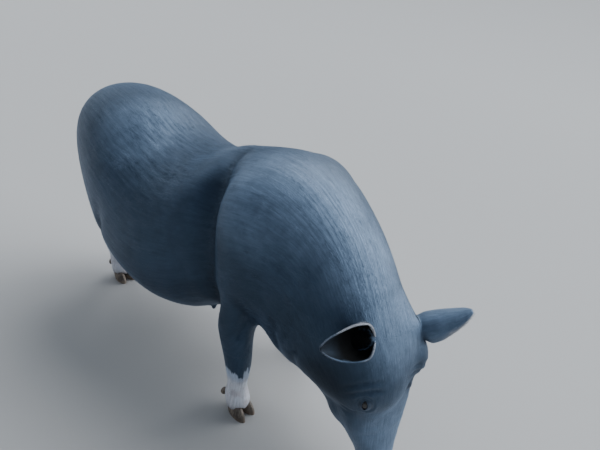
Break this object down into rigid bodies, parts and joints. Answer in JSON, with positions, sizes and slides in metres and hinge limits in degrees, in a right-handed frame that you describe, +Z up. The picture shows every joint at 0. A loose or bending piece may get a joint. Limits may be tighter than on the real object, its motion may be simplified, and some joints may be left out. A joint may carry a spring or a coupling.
{
  "type": "sow",
  "caption": "Sway-backed, pot-bellied black sow of a small native type, life size, standing with her head lowered to feed.",
  "frame": {"origin": "on the floor under the middle of the animal's box", "axes": "+X forward from tail to snout, +Y to the sow's left, +Z up"},
  "size_m": [1.1113, 0.4332, 0.5702],
  "materials": {
    "black_coat": "short dark hair over hide, with a blue sheen",
    "white_sock": "short white hair over pink hide",
    "snout_skin": "bare slate-grey hide",
    "horn": "worn grey-brown horn",
    "eye": "wet dark brown"
  },
  "bodies": {
    "root": {"belly": "black_coat", "claw_fore_left_inner": "horn", "claw_fore_left_outer": "horn", "claw_fore_right_inner": "horn", "claw_fore_right_outer": "horn", "claw_hind_left_inner": "horn", "claw_hind_left_outer": "horn", "claw_hind_right_inner": "horn", "claw_hind_right_outer": "horn", "dewclaw_fore_left_inner": "horn", "dewclaw_fore_left_outer": "horn", "dewclaw_fore_right_inner": "horn", "dewclaw_fore_right_outer": "horn", "dewclaw_hind_left_inner": "horn", "dewclaw_hind_left_outer": "horn", "dewclaw_hind_right_inner": "horn", "dewclaw_hind_right_outer": "horn", "ear_left": "black_coat", "ear_right": "black_coat", "eye_left": "eye", "eye_right": "eye", "forefoot_left": "white_sock", "forefoot_right": "white_sock", "foreleg_left": "black_coat", "foreleg_right": "black_coat", "head": "black_coat", "hindfoot_left": "white_sock", "hindfoot_right": "white_sock", "hindleg_left": "black_coat", "hindleg_right": "black_coat", "hindquarters": "black_coat", "lower_jaw": "black_coat", "neck": "black_coat", "shoulders": "black_coat", "snout": "snout_skin", "tail": "black_coat"}
  },
  "joints": []
}
